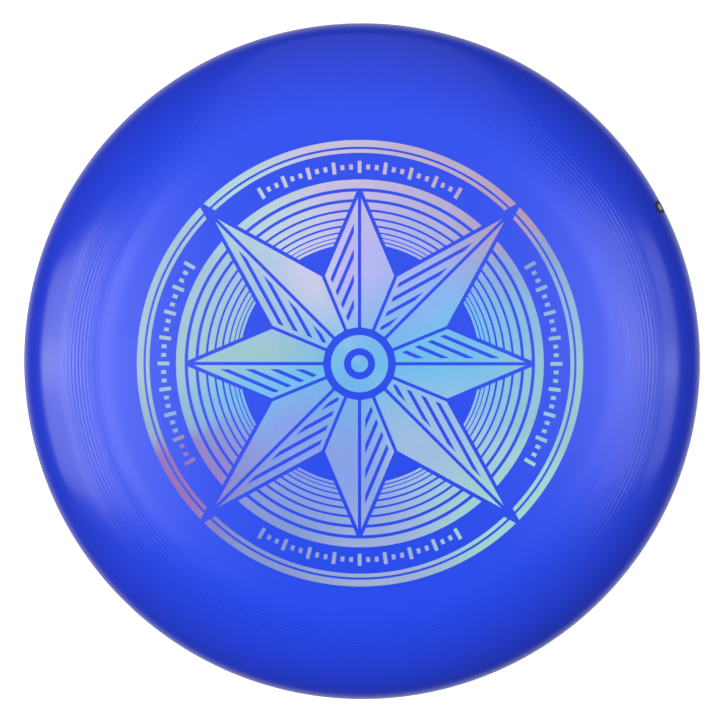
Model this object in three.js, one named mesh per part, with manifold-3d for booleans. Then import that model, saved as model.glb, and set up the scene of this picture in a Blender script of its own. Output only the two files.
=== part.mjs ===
// A flying disc of the 273 mm, 175 g class: one moulded plastic disc, a foil print stamped on
// its top in many separate pieces, and a small ink ring printed on the outer wall of its rim.
// Millimetres, +Z up. The disc lies top side up on z = 0, with its axis on the Z axis.

import * as THREE from 'three';
import { mergeVertices } from 'three/addons/utils/BufferGeometryUtils.js';
import Module from 'manifold-3d';

const wasm = await Module();
wasm.setup();

// ---------------------------------------------------------------- driving dimensions

// Moulded disc
const OUTER_RADIUS = 136.5;
const HEIGHT = 31;
const WIDEST_LEVEL = 10.5;
const PLATE_RADIUS = 98;
const PLATE_RISE = 1.5;
const PLATE_THICKNESS = 1.75;
const LAND_INNER_RADIUS = 130.8;
const LAND_OUTER_RADIUS = 133;
const WALL_RADIUS = 129.5;
const WALL_DRAFT = 0.4;
const WALL_TOP = 17;
const LIP_ROUND = 1.6;
const GATE_RADIUS = 2.5;
const GATE_DROP = 0.5;

// Flight ridges on the shoulder
const RIDGE_COUNT = 13;
const RIDGE_START = 103.5;
const RIDGE_PITCH = 1.46;
const RIDGE_HEIGHT = 0.06;

// Foil and ink films
const FILM_GAP = 0.02;
const FILM_THICKNESS = 0.06;

// Eight-point compass star
const LONG_TIP = 82.9;
const SHORT_TIP = 67.5;
const NOTCH_RADIUS = 37;
const HUB_RADIUS = 14;
const LONG_POINTS = 4;
const SEAM = 1.3;
const HATCH_LINE = 2.5;
const HATCH_SLOT = 1.4;
const FRAME_LINE = 1.6;
const SMALLEST_SLOT = 3;

// Hub at the middle of the star
const HUB_RING = [6.2, 11.4];
const HUB_DOT = 3.4;

// Concentric bands: [inner radius, outer radius]
const BORDER_WIDE = [86.3, 89];
const BORDER_THIN = [83.9, 85.4];
const OUTER_ARC = [69.8, 73.3];
const INNER_ARCS = [[65.5, 68.5], [61.5, 64.3], [58.2, 60.6]];
const ARC_CLEARANCE = 1.5;
const BORDER_CLEARANCE = 2.6;

// Ink ring on the rim's outer wall
const INK_AZIMUTH = 27.5;
const INK_LEVEL = 15;
const INK_RADII = [1.5, 2.8];
const INK_CUTTER_DEPTH = 10;

const SEGMENTS = 72;
const STEP_DEGREES = 360 / SEGMENTS;
const HALF_SECTOR = 180 / (2 * LONG_POINTS);

const PLASTIC_BLUE = new THREE.MeshStandardMaterial({ color: 0x2f4fe8, roughness: 0.4 });
const FOIL = new THREE.MeshStandardMaterial({ color: 0xb4c8ec, roughness: 0.3, metalness: 0.9 });
const INK = new THREE.MeshStandardMaterial({ color: 0x15161c, roughness: 0.7 });

// ---------------------------------------------------------------- the disc's section

// The shoulder is a quarter of an ellipse that leaves the plate without a crease and stands
// upright at the widest level; the shoulder's underside shares its centre line.
const edgeSlope = (2 * PLATE_RISE) / PLATE_RADIUS;
const shoulderRun = OUTER_RADIUS - PLATE_RADIUS;
const shoulderDrop = HEIGHT - PLATE_RISE - WIDEST_LEVEL;
const SHOULDER_A = shoulderRun * (shoulderDrop - edgeSlope * shoulderRun)
  / (shoulderDrop - 2 * edgeSlope * shoulderRun);
const SHOULDER_CENTRE = OUTER_RADIUS - SHOULDER_A;
const plateEdgeShare = (PLATE_RADIUS - SHOULDER_CENTRE) / SHOULDER_A;
const SHOULDER_B = shoulderDrop / Math.sqrt(1 - plateEdgeShare ** 2);

const plateLevel = (r) => HEIGHT - PLATE_RISE * (r / PLATE_RADIUS) ** 2;
const shoulderLevel = (r) =>
  WIDEST_LEVEL + SHOULDER_B * Math.sqrt(1 - ((r - SHOULDER_CENTRE) / SHOULDER_A) ** 2);
const shoulderRadius = (z) =>
  SHOULDER_CENTRE + SHOULDER_A * Math.sqrt(1 - ((z - WIDEST_LEVEL) / SHOULDER_B) ** 2);

// Where the section's facets meet: radii on the plate, its underside and the shoulder, and
// levels on the wall.
const PLATE_STEPS = [0, 20, 40, 60, 80, PLATE_RADIUS];
const UNDERSIDE_STEPS = [70, 40, GATE_RADIUS + GATE_DROP];
const EDGE_STEPS = [101];
const SHOULDER_STEPS = [125.6, 128.8, 131.4];
const WALL_LEVELS = [18.2, 16.5, 14.5, 12.5, WIDEST_LEVEL];

function steps(from, to, count) {
  return Array.from({ length: count + 1 }, (_, i) => from + ((to - from) * i) / count);
}

// Points of an ellipse about (r, z), from one angle to another; 0 is outwards, 90 is up.
function ellipse(r, z, a, b, from, to, count) {
  return steps(from, to, count).map((deg) => {
    const t = THREE.MathUtils.degToRad(deg);
    return [r + a * Math.cos(t), z + b * Math.sin(t)];
  });
}

function ridgePoints() {
  return steps(0, 2 * RIDGE_COUNT, 2 * RIDGE_COUNT).map((i) => {
    const r = RIDGE_START + (i * RIDGE_PITCH) / 2;
    return [r, shoulderLevel(r) + (i % 2 ? RIDGE_HEIGHT : 0)];
  });
}

function topSection() {
  const plate = PLATE_STEPS.map((r) => [r, plateLevel(r)]);
  const edge = EDGE_STEPS.map((r) => [r, shoulderLevel(r)]);
  const shoulder = SHOULDER_STEPS.map((r) => [r, shoulderLevel(r)]);
  const wall = WALL_LEVELS.map((z) => [shoulderRadius(z), z]);
  return [...plate, ...edge, ...ridgePoints(), ...shoulder, ...wall];
}

function lipSection() {
  const curl = ellipse(LAND_OUTER_RADIUS, WIDEST_LEVEL, OUTER_RADIUS - LAND_OUTER_RADIUS,
    WIDEST_LEVEL, -18, -90, 4);
  const inside = ellipse(LAND_INNER_RADIUS, LIP_ROUND, LAND_INNER_RADIUS - WALL_RADIUS,
    LIP_ROUND, -90, -180, 3);
  return [...curl, ...inside];
}

function underSection() {
  const reach = WALL_RADIUS - WALL_DRAFT - SHOULDER_CENTRE;
  const share = (PLATE_RADIUS - SHOULDER_CENTRE) / reach;
  const rise = (plateLevel(PLATE_RADIUS) - PLATE_THICKNESS - WALL_TOP) / Math.sqrt(1 - share ** 2);
  const end = THREE.MathUtils.radToDeg(Math.acos(share));
  const shoulder = ellipse(SHOULDER_CENTRE, WALL_TOP, reach, rise, 0, end, 9);
  const plate = UNDERSIDE_STEPS.map((r) => [r, plateLevel(r) - PLATE_THICKNESS]);
  const gateLevel = HEIGHT - PLATE_THICKNESS - GATE_DROP;
  return [...shoulder, ...plate, [GATE_RADIUS, gateLevel], [0, gateLevel]];
}

// ---------------------------------------------------------------- solids

// A section is listed clockwise: outwards over the top, then back underneath.
function lathe(section) {
  const points = section.map(([r, z]) => new THREE.Vector2(r, z)).reverse();
  const geometry = new THREE.LatheGeometry(points, SEGMENTS);
  geometry.rotateX(Math.PI / 2);
  return geometry;
}

// The geometry as a manifold solid, without the flat triangles that a lathe leaves on its axis.
function toSolid(geometry) {
  const bare = geometry.clone();
  bare.deleteAttribute('normal');
  bare.deleteAttribute('uv');
  const merged = mergeVertices(bare, 1e-4);
  const corners = merged.index.array;
  const kept = [];
  for (let i = 0; i < corners.length; i += 3) {
    const [a, b, c] = corners.slice(i, i + 3);
    if (a !== b && b !== c && c !== a) kept.push(a, b, c);
  }
  return new wasm.Manifold(new wasm.Mesh({
    numProp: 3,
    vertProperties: new Float32Array(merged.attributes.position.array),
    triVerts: new Uint32Array(kept),
  }));
}

function toGeometry(solid) {
  const mesh = solid.getMesh();
  const geometry = new THREE.BufferGeometry();
  geometry.setAttribute('position', new THREE.BufferAttribute(mesh.vertProperties, mesh.numProp));
  geometry.setIndex(new THREE.BufferAttribute(mesh.triVerts, 1));
  geometry.computeVertexNormals();
  return geometry;
}

// A film that lies over a stretch of the section: its lower face, then its upper face, each
// moved from the disc's own facets by the same step.
function film(section, stepR, stepZ) {
  const near = section.map(([r, z]) => [r + stepR * FILM_GAP, z + stepZ * FILM_GAP]);
  const far = section.map(([r, z]) => {
    const reach = FILM_GAP + FILM_THICKNESS;
    return [r + stepR * reach, z + stepZ * reach];
  });
  return toSolid(lathe([...far, ...near.reverse(), ...(section[0][0] > 0 ? [far[0]] : [])]));
}

const plateFilm = film(PLATE_STEPS.map((r) => [r, plateLevel(r)]), 0, 1);
const wallFilm = film(WALL_LEVELS.map((z) => [shoulderRadius(z), z]), 1, 0);

// ---------------------------------------------------------------- flat outlines

const polar = (r, deg) => {
  const t = THREE.MathUtils.degToRad(deg);
  return [r * Math.cos(t), r * Math.sin(t)];
};

// A straight edge as a unit normal that points out of the figure and its distance from 0, 0.
function edgeLine([x0, y0], [x1, y1]) {
  const length = Math.hypot(x1 - x0, y1 - y0);
  const normal = [(y1 - y0) / length, (x0 - x1) / length];
  return { normal, distance: normal[0] * x0 + normal[1] * y0 };
}

// A convex outline, counter-clockwise, with each edge moved inwards by its own amount.
function inset(outline, amounts) {
  const lines = outline.map((p, i) => {
    const line = edgeLine(p, outline[(i + 1) % outline.length]);
    return { ...line, distance: line.distance - amounts[i] };
  });
  return lines.map((b, i) => {
    const a = lines[(i + lines.length - 1) % lines.length];
    const det = a.normal[0] * b.normal[1] - a.normal[1] * b.normal[0];
    return [
      (a.distance * b.normal[1] - b.distance * a.normal[1]) / det,
      (b.distance * a.normal[0] - a.distance * b.normal[0]) / det,
    ];
  });
}

// The part of a convex outline whose distance along the normal is under the limit.
function clip(outline, normal, limit) {
  const over = ([x, y]) => normal[0] * x + normal[1] * y - limit;
  return outline.flatMap((p, i) => {
    const q = outline[(i + 1) % outline.length];
    const [dp, dq] = [over(p), over(q)];
    const kept = dp <= 0 ? [p] : [];
    if (dp * dq < 0) {
      const t = dp / (dp - dq);
      kept.push([p[0] + t * (q[0] - p[0]), p[1] + t * (q[1] - p[1])]);
    }
    return kept;
  });
}

function area(outline) {
  return outline.reduce((sum, [x, y], i) => {
    const [u, v] = outline[(i + 1) % outline.length];
    return sum + (x * v - u * y) / 2;
  }, 0);
}

const turned = (outline, deg) => outline.map(([x, y]) => {
  const [c, s] = polar(1, deg);
  return [c * x - s * y, s * x + c * y];
});
const mirrored = (outline) => outline.map(([x, y]) => [x, -y]).reverse();

// ---------------------------------------------------------------- foil outlines

// Half of a star point that lies along +X, on its +Y side. Its edges run from the hub out
// along the point's axis, back down the star's outline, in along the notch, and across the hub.
const halfPoint = (tip) => [
  [HUB_RADIUS, 0], [tip, 0], polar(NOTCH_RADIUS, HALF_SECTOR), polar(HUB_RADIUS, HALF_SECTOR),
];
const starEdge = (tip) => edgeLine([tip, 0], polar(NOTCH_RADIUS, HALF_SECTOR));

const plainHalf = (tip) => inset(halfPoint(tip), [SEAM / 2, 0, SEAM / 2, SEAM / 2]);

// Slots between the hatch lines, which run along the star's outline.
function hatchSlots(tip) {
  const border = SEAM / 2 + FRAME_LINE;
  const room = inset(halfPoint(tip), [border, HATCH_LINE, border, border]);
  const { normal, distance } = starEdge(tip);
  const back = normal.map((n) => -n);
  const slots = [];
  for (let depth = HATCH_LINE; depth < distance; depth += HATCH_LINE + HATCH_SLOT) {
    const outer = clip(room, normal, distance - depth);
    slots.push(clip(outer, back, depth + HATCH_SLOT - distance));
  }
  return slots.filter((slot) => slot.length > 2 && area(slot) > SMALLEST_SLOT);
}

// Degrees from a point's axis at which a line beside the point, moved out by the clearance,
// crosses the circle of this radius.
function besidePoint(tip, clearance, r) {
  const { normal, distance } = starEdge(tip);
  const tilt = Math.atan2(normal[1], normal[0]);
  return THREE.MathUtils.radToDeg(tilt - Math.acos((distance + clearance) / r));
}

const circle = (r, count) => steps(0, 360 - 360 / count, count - 1).map((deg) => polar(r, deg));

// ---------------------------------------------------------------- the object

const disc = new THREE.Group();

function addMesh(name, geometry, material) {
  const mesh = new THREE.Mesh(geometry, material);
  mesh.name = name;
  disc.add(mesh);
}

function prism(outline, holes, depth) {
  const toPath = (points) => new THREE.Shape(points.map(([x, y]) => new THREE.Vector2(x, y)));
  const shape = toPath(outline);
  shape.holes = holes.map(toPath);
  return new THREE.ExtrudeGeometry(shape, { depth, bevelEnabled: false });
}

// A star's piece of foil: what the flat outline cuts from the film over the plate.
function addFoil(name, outline, holes = []) {
  const cutter = prism(outline, holes, 2 * PLATE_RISE + 2);
  cutter.translate(0, 0, plateLevel(PLATE_RADIUS) - 1);
  addMesh(name, toGeometry(plateFilm.intersect(toSolid(cutter))), FOIL);
}

// The round pieces at the hub, where the plate is all but flat.
function addHubFoil(name, outline, holes = []) {
  const sheet = prism(outline, holes, FILM_THICKNESS);
  sheet.translate(0, 0, plateLevel(0) + FILM_GAP);
  addMesh(name, sheet, FOIL);
}

// A stretch of a circular band between two star points: a thin box with one slice for each
// facet of the plate, bent round the axis. Each end is cut along the star point beside it.
function addBand(name, [inner, outer], from, to, fromTip, toTip, clearance) {
  const sides = [inner, outer].map((r) => ({
    r,
    start: from + besidePoint(fromTip, clearance, r),
    end: to - besidePoint(toTip, clearance, r),
  }));
  const first = Math.ceil(Math.max(...sides.map((side) => side.start)) / STEP_DEGREES);
  const last = Math.floor(Math.min(...sides.map((side) => side.end)) / STEP_DEGREES);
  const slices = last - first + 2;
  const sheet = new THREE.BoxGeometry(slices, 1, FILM_THICKNESS, slices, 1, 1);
  const at = sheet.attributes.position;
  for (let i = 0; i < at.count; i += 1) {
    const slice = Math.round(at.getX(i) + slices / 2);
    const side = sides[at.getY(i) > 0 ? 0 : 1];
    let deg = (first + slice - 1) * STEP_DEGREES;
    if (slice === 0) deg = side.start;
    if (slice === slices) deg = side.end;
    const middle = plateLevel(side.r) + FILM_GAP + FILM_THICKNESS / 2;
    at.setXYZ(i, ...polar(side.r, deg), middle + at.getZ(i));
  }
  addMesh(name, sheet, FOIL);
}

function addStarPoint(name, tip, deg) {
  addFoil(`${name}_plain`, turned(mirrored(plainHalf(tip)), deg));
  const slots = hatchSlots(tip).map((slot) => turned(slot, deg));
  addFoil(`${name}_hatched`, turned(plainHalf(tip), deg), slots);
}

function addStar() {
  for (let i = 0; i < LONG_POINTS; i += 1) {
    const long = HALF_SECTOR * (2 + 4 * i);
    addStarPoint(`star_long_${i + 1}`, LONG_TIP, long);
    addStarPoint(`star_short_${i + 1}`, SHORT_TIP, long + 2 * HALF_SECTOR);
  }
  addHubFoil('star_hub_ring', circle(HUB_RING[1], 36), [circle(HUB_RING[0], 36)]);
  addHubFoil('star_hub_dot', circle(HUB_DOT, 24));
}

function addBands() {
  for (let i = 0; i < LONG_POINTS; i += 1) {
    const from = HALF_SECTOR * (2 + 4 * i);
    const middle = from + 2 * HALF_SECTOR;
    const to = from + 4 * HALF_SECTOR;
    const number = i + 1;
    addBand(`border_wide_${number}`, BORDER_WIDE, from, to, LONG_TIP, LONG_TIP, BORDER_CLEARANCE);
    addBand(`border_thin_${number}`, BORDER_THIN, from, to, LONG_TIP, LONG_TIP, BORDER_CLEARANCE);
    addBand(`arc_1_${number}`, OUTER_ARC, from, to, LONG_TIP, LONG_TIP, ARC_CLEARANCE);
    INNER_ARCS.forEach((radii, k) => {
      const name = `arc_${k + 2}_${number}`;
      addBand(`${name}a`, radii, from, middle, LONG_TIP, SHORT_TIP, ARC_CLEARANCE);
      addBand(`${name}b`, radii, middle, to, SHORT_TIP, LONG_TIP, ARC_CLEARANCE);
    });
  }
}

function addInkRing() {
  const tube = prism(circle(INK_RADII[1], 20), [circle(INK_RADII[0], 20)], INK_CUTTER_DEPTH);
  tube.rotateY(Math.PI / 2);
  tube.translate(OUTER_RADIUS - INK_CUTTER_DEPTH / 2, 0, INK_LEVEL);
  tube.rotateZ(THREE.MathUtils.degToRad(INK_AZIMUTH));
  addMesh('rim_ink_ring', toGeometry(wallFilm.intersect(toSolid(tube))), INK);
}

addMesh('disc_body', lathe([...topSection(), ...lipSection(), ...underSection()]), PLASTIC_BLUE);
addStar();
addBands();
addInkRing();

export default disc;
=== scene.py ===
# Looks for a moulded flying disc with a holographic foil print. The disc lies top side up, with
# its axis on the Z axis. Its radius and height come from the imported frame. Lengths are in
# millimetres until a mesh is made; the camera's and the lights' are in metres.

import math

import bmesh
import bpy
from mathutils import Matrix, Vector


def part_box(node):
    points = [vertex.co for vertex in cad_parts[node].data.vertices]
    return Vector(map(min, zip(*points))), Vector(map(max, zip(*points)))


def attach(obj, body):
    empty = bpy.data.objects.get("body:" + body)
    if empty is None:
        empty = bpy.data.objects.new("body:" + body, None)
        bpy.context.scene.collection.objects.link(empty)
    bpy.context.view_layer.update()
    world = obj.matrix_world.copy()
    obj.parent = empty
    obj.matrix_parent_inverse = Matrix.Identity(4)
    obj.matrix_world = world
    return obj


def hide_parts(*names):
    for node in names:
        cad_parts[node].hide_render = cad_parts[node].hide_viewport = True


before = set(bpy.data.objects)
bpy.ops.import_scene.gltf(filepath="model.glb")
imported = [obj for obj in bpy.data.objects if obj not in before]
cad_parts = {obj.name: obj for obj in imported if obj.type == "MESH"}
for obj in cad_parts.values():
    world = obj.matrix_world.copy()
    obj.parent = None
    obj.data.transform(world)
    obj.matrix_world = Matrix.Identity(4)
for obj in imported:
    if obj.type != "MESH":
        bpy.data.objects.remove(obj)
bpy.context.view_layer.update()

MM = 0.001
BODY = "root"

# ---------------------------------------------------------------- sizes

_, disc_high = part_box("disc_body")
OUTER_RADIUS = disc_high.x / MM
HEIGHT = disc_high.z / MM
WIDEST_LEVEL = 10.5
PLATE_RADIUS = 98.0
PLATE_RISE = 1.5
PLATE_THICKNESS = 1.75
LAND_INNER_RADIUS = 130.8
LAND_OUTER_RADIUS = 133.0
WALL_RADIUS = 129.5
WALL_DRAFT = 0.4
WALL_TOP = 17.0
LIP_ROUND = 1.6
GATE_RADIUS = 2.5
GATE_DROP = 0.5
GATE_DIMPLE_RADIUS = 1.9
GATE_DIMPLE_DROP = 0.05

RIDGE_COUNT = 13
RIDGE_START = 103.5
RIDGE_PITCH = 1.46
RIDGE_HEIGHT = 0.06
RIDGE_END = RIDGE_START + RIDGE_COUNT * RIDGE_PITCH

# Ridges over which the height grows from each end of the row, and where each ridge has its
# points, as shares of the pitch.
RIDGE_FADE = 4
RIDGE_PLACES = (0.0, 0.06, 0.28, 0.5, 0.72, 0.94)

LATHE_SEGMENTS = 384
SHARP_DEGREES = 35.0

FOIL_LIFT = 0.012
FOIL_THICKNESS = 0.03
FOIL_CELL = 5.0
FOIL_STEP_DEGREES = 1.5

LONG_TIP = 82.9
SHORT_TIP = 67.5
NOTCH_RADIUS = 37.0
HUB_RADIUS = 14.0
LONG_POINTS = 4
HALF_SECTOR = 180 / (2 * LONG_POINTS)
SEAM = 1.3
HATCH_LINE = 2.5
HATCH_SLOT = 1.4
FRAME_LINE = 1.6
SMALLEST_SLOT = 3.0
HUB_RING = (6.2, 11.4)
HUB_DOT = 3.4

BORDER_WIDE = (86.3, 89.0)
BORDER_THIN = (83.9, 85.4)
OUTER_ARC = (69.8, 73.3)
INNER_ARCS = ((65.5, 68.5), (61.5, 64.3), (58.2, 60.6))
FINE_ARCS = ((55.4, 57.4), (52.9, 54.6), (50.9, 52.3), (49.4, 50.5), (47.9, 48.9))
ARC_CLEARANCE = 1.5
BORDER_CLEARANCE = 2.6

TICK_RADII = (75.9, 80.7)
TICK_WIDTH = 1.5
TICK_SHORTER = 1.4
TICK_STEP = 2.5
TICK_REACH = 30.0
TICKS_PER_LONG_ONE = 3

INK_AZIMUTH = 27.5
INK_LEVEL = 15.0
INK_RADII = (1.5, 2.8)
INK_LIFT = 0.01
INK_THICKNESS = 0.05
INK_SEGMENTS = 48
GREY_RADII = (0.1, 1.3)
GREY_THICKNESS = 0.04

# The shoulder is an arc of an ellipse that leaves the plate without a crease.
EDGE_SLOPE = 2 * PLATE_RISE / PLATE_RADIUS
SHOULDER_RUN = OUTER_RADIUS - PLATE_RADIUS
SHOULDER_DROP = HEIGHT - PLATE_RISE - WIDEST_LEVEL
SHOULDER_A = (SHOULDER_RUN * (SHOULDER_DROP - EDGE_SLOPE * SHOULDER_RUN)
              / (SHOULDER_DROP - 2 * EDGE_SLOPE * SHOULDER_RUN))
SHOULDER_CENTRE = OUTER_RADIUS - SHOULDER_A
SHOULDER_B = SHOULDER_DROP / math.sqrt(1 - ((PLATE_RADIUS - SHOULDER_CENTRE) / SHOULDER_A) ** 2)


def plate_level(r):
    return HEIGHT - PLATE_RISE * (r / PLATE_RADIUS) ** 2


def shoulder_level(r):
    share = (r - SHOULDER_CENTRE) / SHOULDER_A
    return WIDEST_LEVEL + SHOULDER_B * math.sqrt(max(0.0, 1 - share * share))


def shoulder_radius(z):
    share = (z - WIDEST_LEVEL) / SHOULDER_B
    return SHOULDER_CENTRE + SHOULDER_A * math.sqrt(1 - share * share)


# ---------------------------------------------------------------- mesh helpers

def steps(first, last, count):
    return [first + (last - first) * i / count for i in range(count + 1)]


def polar(r, degrees):
    angle = math.radians(degrees)
    return r * math.cos(angle), r * math.sin(angle)


def circle(r, count):
    return [polar(r, 360 * i / count) for i in range(count)]


def ellipse(r, z, a, b, first, last, count):
    """Points of an ellipse about (r, z); 0 degrees is outwards and 90 is up."""
    angles = [math.radians(d) for d in steps(first, last, count)]
    return [(r + a * math.cos(t), z + b * math.sin(t)) for t in angles]


def revolve(bm, section, segments):
    """Faces round the axis through a section's points; returns the first and the last ring."""
    rings = []
    for r, z in section:
        rings.append([bm.verts.new((x, y, z)) for x, y in circle(r, segments)])
    for inner, outer in zip(rings, rings[1:]):
        for i in range(segments):
            j = (i + 1) % segments
            bm.faces.new((inner[i], outer[i], outer[j], inner[j]))
    return rings[0], rings[-1]


def close_ring(bm, ring, z):
    """A fan of faces from a ring to a point on the axis."""
    tip = bm.verts.new((0, 0, z))
    for a, b in zip(ring, ring[1:] + ring[:1]):
        bm.faces.new((tip, a, b))


def new_object(name, bm):
    """An object from a bmesh in millimetres, shaded smooth except across sharp edges."""
    for face in bm.faces:
        face.smooth = True
    for edge in bm.edges:
        is_open = len(edge.link_faces) != 2
        edge.smooth = is_open or edge.calc_face_angle(0.0) < math.radians(SHARP_DEGREES)
    bmesh.ops.scale(bm, vec=(MM, MM, MM), verts=bm.verts)
    mesh = bpy.data.meshes.new(name)
    bm.to_mesh(mesh)
    bm.free()
    obj = bpy.data.objects.new(name, mesh)
    bpy.context.scene.collection.objects.link(obj)
    return obj


def add_piece(name, bm, material, node=None):
    obj = new_object(name, bm)
    obj.data.materials.append(material)
    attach(obj, BODY)
    if node:
        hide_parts(node)


# ---------------------------------------------------------------- the moulded disc

def ridge_section():
    """Rounded flight ridges with a crease between neighbours, lower at both ends of the row."""
    points = []
    for i in range(RIDGE_COUNT):
        from_edge = min(i + 1, RIDGE_COUNT - i)
        height = RIDGE_HEIGHT * min(1, from_edge / RIDGE_FADE)
        for place in RIDGE_PLACES:
            r = RIDGE_START + (i + place) * RIDGE_PITCH
            points.append((r, shoulder_level(r) + height * math.sin(math.pi * place)))
    return points + [(RIDGE_END, shoulder_level(RIDGE_END))]


def disc_section():
    """The whole outline, clockwise from the middle of the top to the middle of the underside."""
    plate = [(r, plate_level(r)) for r in steps(0, PLATE_RADIUS, 28)]
    edge = [(r, shoulder_level(r)) for r in steps(PLATE_RADIUS, RIDGE_START, 6)[1:-1]]
    first = math.degrees(math.acos((RIDGE_END - SHOULDER_CENTRE) / SHOULDER_A))
    shoulder = ellipse(SHOULDER_CENTRE, WIDEST_LEVEL, SHOULDER_A, SHOULDER_B, first, 0, 26)[1:]
    curl = ellipse(LAND_OUTER_RADIUS, WIDEST_LEVEL, OUTER_RADIUS - LAND_OUTER_RADIUS,
                   WIDEST_LEVEL, 0, -90, 14)[1:]
    lip = ellipse(LAND_INNER_RADIUS, LIP_ROUND, LAND_INNER_RADIUS - WALL_RADIUS, LIP_ROUND,
                  -90, -180, 6)
    reach = WALL_RADIUS - WALL_DRAFT - SHOULDER_CENTRE
    share = (PLATE_RADIUS - SHOULDER_CENTRE) / reach
    plate_under = plate_level(PLATE_RADIUS) - PLATE_THICKNESS
    rise = (plate_under - WALL_TOP) / math.sqrt(1 - share * share)
    inside = ellipse(SHOULDER_CENTRE, WALL_TOP, reach, rise, 0, math.degrees(math.acos(share)), 28)
    gate_foot = GATE_RADIUS + GATE_DROP
    under = [(r, plate_level(r) - PLATE_THICKNESS) for r in steps(PLATE_RADIUS, gate_foot, 14)[1:]]
    gate_level = HEIGHT - PLATE_THICKNESS - GATE_DROP
    dimple_level = gate_level - GATE_DIMPLE_DROP
    gate = [(GATE_RADIUS, gate_level), (GATE_DIMPLE_RADIUS, dimple_level), (0, dimple_level)]
    return plate + edge + ridge_section() + shoulder + curl + lip + inside + under + gate


def lathe(section, segments):
    """A closed solid of revolution; the first and last points are on the axis."""
    bm = bmesh.new()
    first, last = revolve(bm, section[1:-1], segments)
    close_ring(bm, first, section[0][1])
    close_ring(bm, last[::-1], section[-1][1])
    return bm


# ---------------------------------------------------------------- foil outlines

def edge_line(p, q):
    """A straight edge as an outward unit normal and its distance from the axis."""
    length = math.hypot(q[0] - p[0], q[1] - p[1])
    normal = ((q[1] - p[1]) / length, (p[0] - q[0]) / length)
    return normal, normal[0] * p[0] + normal[1] * p[1]


def inset(outline, amounts):
    """A convex outline, counter-clockwise, with each edge moved inwards by its own amount."""
    lines = []
    for i, p in enumerate(outline):
        normal, distance = edge_line(p, outline[(i + 1) % len(outline)])
        lines.append((normal, distance - amounts[i]))
    corners = []
    for (a, da), (b, db) in zip([lines[-1]] + lines, lines):
        det = a[0] * b[1] - a[1] * b[0]
        corners.append(((da * b[1] - db * a[1]) / det, (db * a[0] - da * b[0]) / det))
    return corners


def clip(outline, normal, limit):
    """The part of a convex outline whose distance along the normal is under the limit."""
    kept = []
    for p, q in zip(outline, outline[1:] + outline[:1]):
        over_p = normal[0] * p[0] + normal[1] * p[1] - limit
        over_q = normal[0] * q[0] + normal[1] * q[1] - limit
        if over_p <= 0:
            kept.append(p)
        if over_p * over_q < 0:
            t = over_p / (over_p - over_q)
            kept.append((p[0] + t * (q[0] - p[0]), p[1] + t * (q[1] - p[1])))
    return kept


def area(outline):
    pairs = zip(outline, outline[1:] + outline[:1])
    return sum(p[0] * q[1] - q[0] * p[1] for p, q in pairs) / 2


def turned(outline, degrees):
    c, s = polar(1, degrees)
    return [(c * x - s * y, s * x + c * y) for x, y in outline]


def mirrored(outline):
    return [(x, -y) for x, y in reversed(outline)]


def half_point(tip):
    """Half of a star point along +X: out along its axis, back down the star's outline."""
    return [(HUB_RADIUS, 0), (tip, 0), polar(NOTCH_RADIUS, HALF_SECTOR),
            polar(HUB_RADIUS, HALF_SECTOR)]


def star_edge(tip):
    return edge_line((tip, 0), polar(NOTCH_RADIUS, HALF_SECTOR))


def plain_half(tip):
    return inset(half_point(tip), [SEAM / 2, 0, SEAM / 2, SEAM / 2])


def hatch_slots(tip):
    """Slots between the hatch lines, which run along the star's outline."""
    border = SEAM / 2 + FRAME_LINE
    room = inset(half_point(tip), [border, HATCH_LINE, border, border])
    normal, distance = star_edge(tip)
    back = (-normal[0], -normal[1])
    slots = []
    depth = HATCH_LINE
    while depth < distance:
        slot = clip(clip(room, normal, distance - depth), back, depth + HATCH_SLOT - distance)
        if len(slot) > 2 and area(slot) > SMALLEST_SLOT:
            slots.append(slot)
        depth += HATCH_LINE + HATCH_SLOT
    return slots


def beside_point(tip, clearance, r):
    """Degrees from a point's axis to where a line beside the point crosses radius r."""
    normal, distance = star_edge(tip)
    tilt = math.atan2(normal[1], normal[0])
    return math.degrees(tilt - math.acos((distance + clearance) / r))


# ---------------------------------------------------------------- foil meshes

def raise_foil(bm):
    """Gives a flat sheet its thickness and lays it on the plate's dome."""
    top = list(bm.faces)
    for face in top:
        if face.normal.z < 0:
            face.normal_flip()
    copy = bmesh.ops.duplicate(bm, geom=bm.verts[:] + bm.edges[:] + bm.faces[:])
    under = [g for g in copy["geom"] if isinstance(g, bmesh.types.BMFace)]
    twins = copy["vert_map"]
    rim = [e for f in top for e in f.edges if len(e.link_faces) == 1]
    for edge in rim:
        loop = edge.link_loops[0]
        a, b = loop.vert, loop.link_loop_next.vert
        bm.faces.new((b, a, twins[a], twins[b]))
    for face in under:
        face.normal_flip()
        for vert in face.verts:
            vert.co.z = -FOIL_THICKNESS
    for vert in bm.verts:
        r = math.hypot(vert.co.x, vert.co.y)
        vert.co.z += plate_level(r) + FOIL_LIFT + FOIL_THICKNESS
    bm.normal_update()


def sheet_from_outline(outline, holes=()):
    """A flat sheet with holes, cut into small cells so that it can follow the dome."""
    bm = bmesh.new()
    for loop in (outline, *holes):
        verts = [bm.verts.new((x, y, 0)) for x, y in loop]
        for a, b in zip(verts, verts[1:] + verts[:1]):
            bm.edges.new((a, b))
    bmesh.ops.triangle_fill(bm, use_beauty=True, edges=bm.edges[:])
    bmesh.ops.dissolve_limit(bm, angle_limit=0.01, verts=bm.verts[:], edges=bm.edges[:])
    for axis in ((1, 0, 0), (0, 1, 0)):
        cut = -LONG_TIP
        while cut < LONG_TIP:
            plane = Vector(axis) * cut
            geometry = bm.verts[:] + bm.edges[:] + bm.faces[:]
            bmesh.ops.bisect_plane(bm, geom=geometry, dist=1e-4, plane_co=plane, plane_no=axis)
            cut += FOIL_CELL
    bm.normal_update()
    return bm


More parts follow.
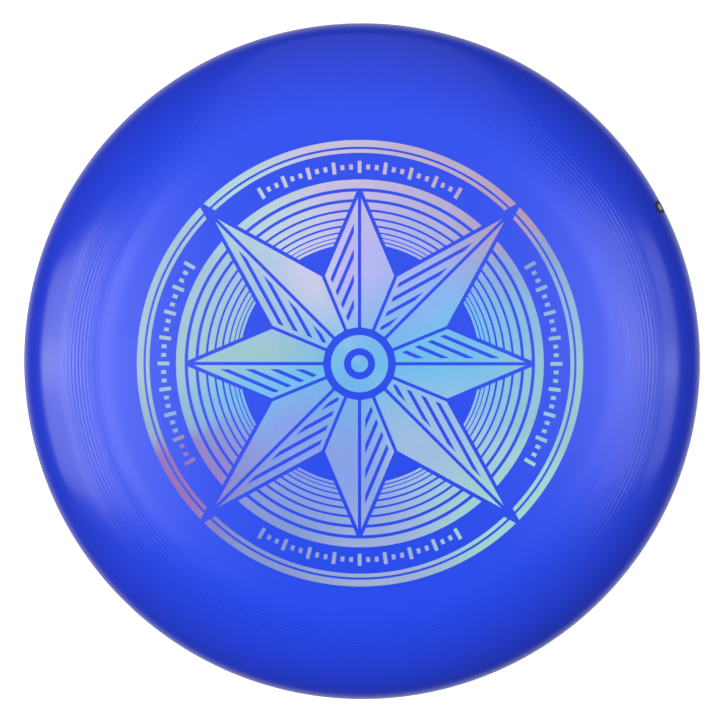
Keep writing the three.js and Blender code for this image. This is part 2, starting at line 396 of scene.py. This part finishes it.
def sheet_from_band(inner, outer, ends):
    """A flat stretch of ring; ends gives its first and last angle at a radius."""
    bm = bmesh.new()
    middle = (inner + outer) / 2
    first, last = ends(middle)
    count = max(3, math.ceil((last - first) / FOIL_STEP_DEGREES))
    rows = []
    for r in (inner, middle, outer):
        start, stop = ends(r)
        rows.append([bm.verts.new((*polar(r, deg), 0)) for deg in steps(start, stop, count)])
    for low, high in zip(rows, rows[1:]):
        for i in range(count):
            bm.faces.new((low[i], high[i], high[i + 1], low[i + 1]))
    bm.normal_update()
    return bm


def add_foil(name, bm, node=None):
    raise_foil(bm)
    add_piece(f"foil_{name}", bm, FOIL, node)


# ---------------------------------------------------------------- materials

def linear(red, green, blue):
    """An sRGB colour from 0 to 255 as a linear RGBA tuple."""
    def one(value):
        v = value / 255
        return v / 12.92 if v <= 0.04045 else ((v + 0.055) / 1.055) ** 2.4
    return one(red), one(green), one(blue), 1.0


class Nodes:
    """A material's node tree with short calls for the nodes used here."""

    def __init__(self, name):
        self.material = bpy.data.materials.new(name)
        self.material.use_nodes = True
        self.tree = self.material.node_tree
        self.shader = self.tree.nodes["Principled BSDF"]

    def add(self, kind, inputs=None, **settings):
        node = self.tree.nodes.new(kind)
        for key, value in settings.items():
            setattr(node, key, value)
        for key, value in (inputs or {}).items():
            self.set(node.inputs[key], value)
        return node

    def set(self, socket, value):
        if isinstance(value, bpy.types.NodeSocket):
            self.tree.links.new(value, socket)
        else:
            socket.default_value = value

    def math(self, operation, a, b=0.0):
        return self.add("ShaderNodeMath", {0: a, 1: b}, operation=operation).outputs[0]

    def noise(self, place, scale, detail=2.0):
        inputs = {"Vector": place, "Scale": scale, "Detail": detail}
        return self.add("ShaderNodeTexNoise", inputs).outputs["Fac"]

    def spread(self, value, low, high, to_low=0.0, to_high=1.0):
        inputs = {"Value": value, "From Min": low, "From Max": high,
                  "To Min": to_low, "To Max": to_high}
        return self.add("ShaderNodeMapRange", inputs).outputs["Result"]

    def mix(self, share, a, b):
        node = self.add("ShaderNodeMix", data_type="RGBA")
        self.set(node.inputs["Factor"], share)
        self.set(node.inputs["A"], a)
        self.set(node.inputs["B"], b)
        return node.outputs["Result"]

    def ramp(self, value, stops):
        node = self.add("ShaderNodeValToRGB", {"Fac": value})
        node.color_ramp.interpolation = "EASE"
        elements = node.color_ramp.elements
        while len(elements) < len(stops):
            elements.new(0.5)
        for element, (place, colour) in zip(elements, stops):
            element.position = place
            element.color = colour
        return node.outputs["Color"]

    def place(self):
        return self.add("ShaderNodeTexCoord").outputs["Object"]

    def axes(self, place):
        return self.add("ShaderNodeSeparateXYZ", {0: place}).outputs

    def radius(self, place):
        """Distance from the disc's axis."""
        x, y, _ = self.axes(place)
        squares = self.math("ADD", self.math("POWER", x, 2.0), self.math("POWER", y, 2.0))
        return self.math("SQRT", squares)

    def azimuth(self, place):
        """Turns round the disc's axis, counter-clockwise from +X."""
        x, y, _ = self.axes(place)
        return self.math("DIVIDE", self.math("ARCTAN2", y, x), 2 * math.pi)


# Radii between which one colour turns into the next.
# Painted shade: the plastic's blue darkens between these radii, out to the rim.
RIM_SHADE_RADII = (102 * MM, OUTER_RADIUS * MM)
FOIL_BLEND = (46 * MM, 80 * MM)
HUB_BLEND = (8 * MM, 36 * MM)


def disc_plastic():
    """Satin blue polyethylene, with painted shade: a deeper blue towards the rim, where the
    shoulder turns away from the light.
    """
    n = Nodes("blue_plastic")
    place = n.place()
    mottle = n.noise(place, 12.0, 1.0)
    fine_specks = n.noise(place, 900.0)
    plate = n.mix(mottle, linear(35, 78, 252), linear(38, 80, 255))
    # Painted shade: the rim's darker blue stands in for the shoulder turning away from the light.
    rim = n.mix(mottle, linear(36, 59, 214), linear(39, 61, 217))
    rim_shade = n.spread(n.radius(place), *RIM_SHADE_RADII)
    n.set(n.shader.inputs["Base Color"], n.mix(rim_shade, plate, rim))
    n.set(n.shader.inputs["Roughness"], n.spread(n.noise(place, 400.0), 0, 1, 0.18, 0.21))
    bump = n.add("ShaderNodeBump", {"Height": fine_specks, "Strength": 0.05, "Distance": 0.0002})
    n.set(n.shader.inputs["Normal"], bump.outputs["Normal"])
    return n.material


AQUA = linear(156, 202, 211)
SKY = linear(145, 187, 223)
SLATE = linear(142, 165, 209)
ROSE = linear(184, 154, 184)
MAUVE = linear(191, 176, 203)
PINK = linear(209, 199, 224)
MINT = linear(180, 219, 225)
STEEL = linear(165, 198, 215)
HEATHER = linear(148, 176, 204)
MAGENTA = linear(150, 106, 186)
VIOLET = linear(134, 128, 200)
PERIWINKLE = linear(130, 154, 212)
LILAC = linear(167, 187, 225)
SEAFOAM = linear(168, 223, 216)
CYAN = linear(112, 196, 244)
AZURE = linear(134, 184, 248)
LAVENDER = linear(166, 184, 248)
ORCHID = linear(190, 186, 249)
PEARL = linear(206, 210, 238)
BLUEBELL = linear(134, 164, 241)
MIST = linear(162, 196, 235)

# Painted iridescence: the foil's rainbow colours, which real foil shows by the angle of the light,
# painted fixed by turns round the disc, out at the border bands and in at the star.
OUTER_IRIDESCENCE_STOPS = (
    (0.0, AQUA), (0.04, SKY), (0.085, SLATE), (0.125, ROSE), (0.19, MAUVE), (0.29, PINK),
    (0.345, MINT), (0.41, STEEL), (0.5, STEEL), (0.54, HEATHER), (0.56, MAGENTA), (0.6, MAGENTA),
    (0.63, VIOLET), (0.67, PERIWINKLE), (0.75, LILAC), (0.8, LILAC), (0.86, SEAFOAM),
    (0.92, SEAFOAM), (0.96, AQUA), (1.0, AQUA),
)
INNER_IRIDESCENCE_STOPS = (
    (0.0, CYAN), (0.05, CYAN), (0.1, AZURE), (0.19, LAVENDER), (0.27, ORCHID), (0.33, PEARL),
    (0.4, MIST), (0.47, AQUA), (0.53, CYAN), (0.6, BLUEBELL), (0.75, BLUEBELL), (0.84, MIST),
    (0.91, MIST), (1.0, CYAN),
)
HUB_BLUE = linear(98, 190, 245)


def hologram_foil():
    """Metallised film with painted iridescence: its pastel rainbow colours, which real foil shows
    by the light's angle, drift round the print and in towards the hub.
    """
    n = Nodes("hologram_foil")
    place = n.place()
    drift = n.spread(n.noise(place, 16.0), 0.3, 0.7, 0.98, 1.02)
    share = n.math("FRACT", n.math("ADD", n.azimuth(place), drift))
    radius = n.radius(place)
    outwards = n.spread(radius, *FOIL_BLEND)
    colour = n.mix(outwards, n.ramp(share, INNER_IRIDESCENCE_STOPS), n.ramp(share, OUTER_IRIDESCENCE_STOPS))
    # Painted iridescence as well: bluer towards the hub.
    middle = n.spread(radius, *HUB_BLEND, 0.8, 0.0)
    colour = n.mix(middle, colour, HUB_BLUE)
    # Painted sparkle: tiny specks of paler colour stand in for the foil's glints.
    fine_specks = n.spread(n.noise(place, 1500.0), 0.3, 0.7, 0.0, 0.08)
    colour = n.mix(fine_specks, colour, linear(236, 236, 236))
    n.set(n.shader.inputs["Base Color"], colour)
    n.set(n.shader.inputs["Metallic"], 0.5)
    n.set(n.shader.inputs["Roughness"], n.spread(n.noise(place, 300.0), 0.3, 0.7, 0.42, 0.5))
    return n.material


def printed_ink():
    """Matt black ink with slightly uneven cover."""
    n = Nodes("printed_ink")
    cover = n.noise(n.place(), 1800.0, 3.0)
    n.set(n.shader.inputs["Base Color"], n.mix(cover, linear(22, 23, 30), linear(48, 50, 62)))
    n.set(n.shader.inputs["Roughness"], 0.65)
    return n.material


def printed_grey():
    """Pale grey ink inside the dark ring."""
    n = Nodes("printed_grey")
    cover = n.noise(n.place(), 1600.0, 3.0)
    n.set(n.shader.inputs["Base Color"], n.mix(cover, linear(150, 152, 160), linear(196, 198, 204)))
    n.set(n.shader.inputs["Roughness"], 0.6)
    return n.material


def pale_floor():
    """A white table that glows a little more further out; from below it can be seen through."""
    n = Nodes("pale_floor")
    place = n.place()
    white = n.mix(n.noise(place, 3.0), (0.88, 0.88, 0.88, 1), (0.92, 0.92, 0.92, 1))
    n.set(n.shader.inputs["Base Color"], white)
    n.set(n.shader.inputs["Roughness"], 0.9)
    n.set(n.shader.inputs["Emission Color"], (1, 1, 1, 1))
    n.set(n.shader.inputs["Emission Strength"], n.spread(n.radius(place), 0.3, 2.5, 0.7, 0.95))
    see_through = n.add("ShaderNodeBsdfTransparent").outputs[0]
    behind = n.add("ShaderNodeNewGeometry").outputs["Backfacing"]
    surface = n.add("ShaderNodeMixShader", {0: behind, 1: n.shader.outputs[0], 2: see_through})
    n.set(n.tree.nodes["Material Output"].inputs["Surface"], surface.outputs[0])
    return n.material


PLASTIC = disc_plastic()
FOIL = hologram_foil()
INK = printed_ink()
GREY = printed_grey()


# ---------------------------------------------------------------- the pieces

def add_disc():
    body = lathe(disc_section(), LATHE_SEGMENTS)
    add_piece("moulded_disc", body, PLASTIC, "disc_body")


def add_star_point(name, tip, degrees):
    plain = turned(mirrored(plain_half(tip)), degrees)
    add_foil(f"{name}_plain", sheet_from_outline(plain), f"{name}_plain")
    slots = [turned(slot, degrees) for slot in hatch_slots(tip)]
    hatched = sheet_from_outline(turned(plain_half(tip), degrees), slots)
    add_foil(f"{name}_hatched", hatched, f"{name}_hatched")


def add_star():
    for i in range(LONG_POINTS):
        degrees = HALF_SECTOR * (2 + 4 * i)
        add_star_point(f"star_long_{i + 1}", LONG_TIP, degrees)
        add_star_point(f"star_short_{i + 1}", SHORT_TIP, degrees + 2 * HALF_SECTOR)
    ring = sheet_from_outline(circle(HUB_RING[1], 96), [circle(HUB_RING[0], 64)])
    add_foil("star_hub_ring", ring, "star_hub_ring")
    add_foil("star_hub_dot", sheet_from_outline(circle(HUB_DOT, 48)), "star_hub_dot")


def add_band(name, radii, first, last, first_tip, last_tip, clearance, in_cad=True):
    def ends(r):
        return (first + beside_point(first_tip, clearance, r),
                last - beside_point(last_tip, clearance, r))
    add_foil(name, sheet_from_band(*radii, ends), name if in_cad else None)


def add_bands():
    arcs = INNER_ARCS + FINE_ARCS
    for i in range(LONG_POINTS):
        first = HALF_SECTOR * (2 + 4 * i)
        middle = first + 2 * HALF_SECTOR
        last = first + 4 * HALF_SECTOR
        whole = (first, last, LONG_TIP, LONG_TIP)
        add_band(f"border_wide_{i + 1}", BORDER_WIDE, *whole, BORDER_CLEARANCE)
        add_band(f"border_thin_{i + 1}", BORDER_THIN, *whole, BORDER_CLEARANCE)
        add_band(f"arc_1_{i + 1}", OUTER_ARC, *whole, ARC_CLEARANCE)
        for k, radii in enumerate(arcs):
            name = f"arc_{k + 2}_{i + 1}"
            in_cad = k < len(INNER_ARCS)
            before = (first, middle, LONG_TIP, SHORT_TIP)
            after = (middle, last, SHORT_TIP, LONG_TIP)
            add_band(f"{name}a", radii, *before, ARC_CLEARANCE, in_cad)
            add_band(f"{name}b", radii, *after, ARC_CLEARANCE, in_cad)


def add_ticks():
    """Plain dial ticks in the empty band, one row between each pair of long points."""
    for i in range(LONG_POINTS):
        bm = bmesh.new()
        middle = HALF_SECTOR * (4 + 4 * i)
        count = round(TICK_REACH / TICK_STEP)
        half = TICK_WIDTH / 2
        for k in range(-count, count + 1):
            shorter = TICK_SHORTER if k % TICKS_PER_LONG_ONE else 0
            inner = TICK_RADII[0] + shorter
            outer = TICK_RADII[1] - shorter
            box = [(inner, -half), (outer, -half), (outer, half), (inner, half)]
            corners = turned(box, middle + k * TICK_STEP)
            bm.faces.new([bm.verts.new((x, y, 0)) for x, y in corners])
        bm.normal_update()
        add_foil(f"dial_ticks_{i + 1}", bm)


def add_rim_mark():
    """A small ring printed on the rim's outer wall, with a pale middle."""
    facing = Matrix.Rotation(math.radians(INK_AZIMUTH), 3, "Z")

    def on_wall(y, z, lift):
        r = shoulder_radius(INK_LEVEL + z) + lift
        across = math.degrees(y / r)
        return facing @ Vector((*polar(r, across), INK_LEVEL + z))

    def patch(name, radii, thickness, material, node=None):
        bm = bmesh.new()
        inner, outer = radii
        under, over = INK_LIFT, INK_LIFT + thickness
        rows = []
        for r, lift in ((inner, under), (inner, over), (outer, over), (outer, under)):
            ring = circle(r, INK_SEGMENTS)
            rows.append([bm.verts.new(on_wall(y, z, lift)) for y, z in ring])
        for low, high in zip(rows, rows[1:] + rows[:1]):
            for i in range(INK_SEGMENTS):
                j = (i + 1) % INK_SEGMENTS
                bm.faces.new((low[i], low[j], high[j], high[i]))
        bmesh.ops.recalc_face_normals(bm, faces=bm.faces[:])
        add_piece(name, bm, material, node)

    patch("rim_mark_ring", INK_RADII, INK_THICKNESS, INK, "rim_ink_ring")
    patch("rim_mark_middle", GREY_RADII, GREY_THICKNESS, GREY)


# ---------------------------------------------------------------- studio

TARGET = Vector((0, 0, WIDEST_LEVEL * MM))

CAMERA_DISTANCE = 1.5
CAMERA_TILT = (1.8, 1.8)
CAMERA_HALF_WIDTH = 0.1453
CAMERA_SHIFT = (-0.0016, 0.0029)
SENSOR = 36.0

# Softboxes make the broad highlights; the tubes and bulbs make the ridges glint.
LIGHT_DISTANCE = 2.0
LIGHTS = (
    # name, azimuth and lean in degrees, width and length in metres, radiance
    ("softbox_left", 184, 55, 1.3, 1.1, 2.8),
    ("softbox_left_high", 188, 17, 0.57, 0.42, 3.8),
    ("strip_left", 182, 57, 0.19, 0.95, 3.4),
    ("tube_left", 184, 36, 1.2, 0.46, 4.2),
    ("bulb_left", 182, 40, 0.25, 0.1, 3),
    ("softbox_right", 0, 54, 1.4, 0.62, 1.8),
    ("softbox_right_high", -2, 14, 0.53, 0.45, 2.9),
    ("strip_right", -3, 54, 0.12, 0.62, 3.2),
    ("tube_right", 0, 30, 1.2, 0.72, 2.4),
    ("bulb_right", 0, 27, 0.2, 0.1, 13),
    ("softbox_top", 91, 42.5, 1.6, 3.7, 0.4),
)

FLOOR_RADIUS = 3000
FLOOR_FIRST_RING = 200
FLOOR_GAP = 0.1
FLOOR_SEGMENTS = 72
BACKDROP_ROUND = 1500
BACKDROP_TOP = 9000


def add_camera():
    data = bpy.data.cameras.new("camera")
    data.sensor_width = SENSOR
    data.lens = SENSOR / 2 * CAMERA_DISTANCE / CAMERA_HALF_WIDTH
    data.shift_x, data.shift_y = CAMERA_SHIFT
    lean_x, lean_y = (math.tan(math.radians(t)) for t in CAMERA_TILT)
    back = Vector((lean_x, lean_y, 1)).normalized()
    right = Vector((0, 1, 0)).cross(back).normalized()
    camera = bpy.data.objects.new("camera", data)
    camera.matrix_world = Matrix.Translation(TARGET + back * CAMERA_DISTANCE) @ Matrix(
        (right, back.cross(right), back)).transposed().to_4x4()
    bpy.context.scene.collection.objects.link(camera)
    bpy.context.scene.camera = camera


def add_light(name, azimuth, lean, width, length, radiance):
    """A rectangular light that faces the disc, leaning off the vertical towards an azimuth.

    Its length runs along the lean and its width across it.
    """
    data = bpy.data.lights.new(name, "AREA")
    data.shape = "RECTANGLE"
    data.size = width
    data.size_y = length
    data.energy = radiance * math.pi * width * length
    light = bpy.data.objects.new(name, data)
    light.visible_camera = False
    turn = Matrix.Rotation(math.radians(azimuth - 90), 4, "Z")
    tilt = Matrix.Rotation(-math.radians(lean), 4, "X")
    away = Matrix.Translation((0, 0, LIGHT_DISTANCE))
    light.matrix_world = Matrix.Translation(TARGET) @ turn @ tilt @ away
    bpy.context.scene.collection.objects.link(light)


def add_world():
    """Dark above the horizon, so that the lights shape the gloss, and a pale glow below it."""
    world = bpy.data.worlds.new("studio")
    world.use_nodes = True
    tree = world.node_tree
    direction = tree.nodes.new("ShaderNodeTexCoord").outputs["Generated"]
    axes = tree.nodes.new("ShaderNodeSeparateXYZ")
    tree.links.new(direction, axes.inputs[0])
    glow = tree.nodes.new("ShaderNodeMapRange")
    for name, value in (("From Min", -0.6), ("From Max", -0.15), ("To Min", 0.9), ("To Max", 0.1)):
        glow.inputs[name].default_value = value
    tree.links.new(axes.outputs["Z"], glow.inputs["Value"])
    background = tree.nodes["Background"]
    background.inputs["Color"].default_value = (1, 1, 1, 1)
    tree.links.new(glow.outputs["Result"], background.inputs["Strength"])
    bpy.context.scene.world = world


def add_floor():
    """A round floor that curves up into a backdrop. It adds no light to the disc.

    It lies a little below the rim, so that the rim's flat land and the floor don't coincide.
    """
    section = [(r, 0) for r in steps(FLOOR_FIRST_RING, FLOOR_RADIUS, 7)]
    curve = (BACKDROP_ROUND, BACKDROP_ROUND, BACKDROP_ROUND, -90, 0, 12)
    section += ellipse(FLOOR_RADIUS, *curve)[1:]
    section.append((FLOOR_RADIUS + BACKDROP_ROUND, BACKDROP_TOP))
    bm = bmesh.new()
    middle, _ = revolve(bm, section, FLOOR_SEGMENTS)
    close_ring(bm, middle, 0)
    floor = new_object("floor", bm)
    floor.location.z = -FLOOR_GAP * MM
    floor.data.materials.append(pale_floor())
    floor.visible_diffuse = False
    floor.visible_glossy = False
    floor.visible_shadow = False


def add_studio():
    bpy.context.scene.view_settings.view_transform = "Standard"
    add_world()
    for light in LIGHTS:
        add_light(*light)
    add_floor()


add_camera()
add_disc()
add_star()
add_bands()
add_ticks()
add_rim_mark()
add_studio()
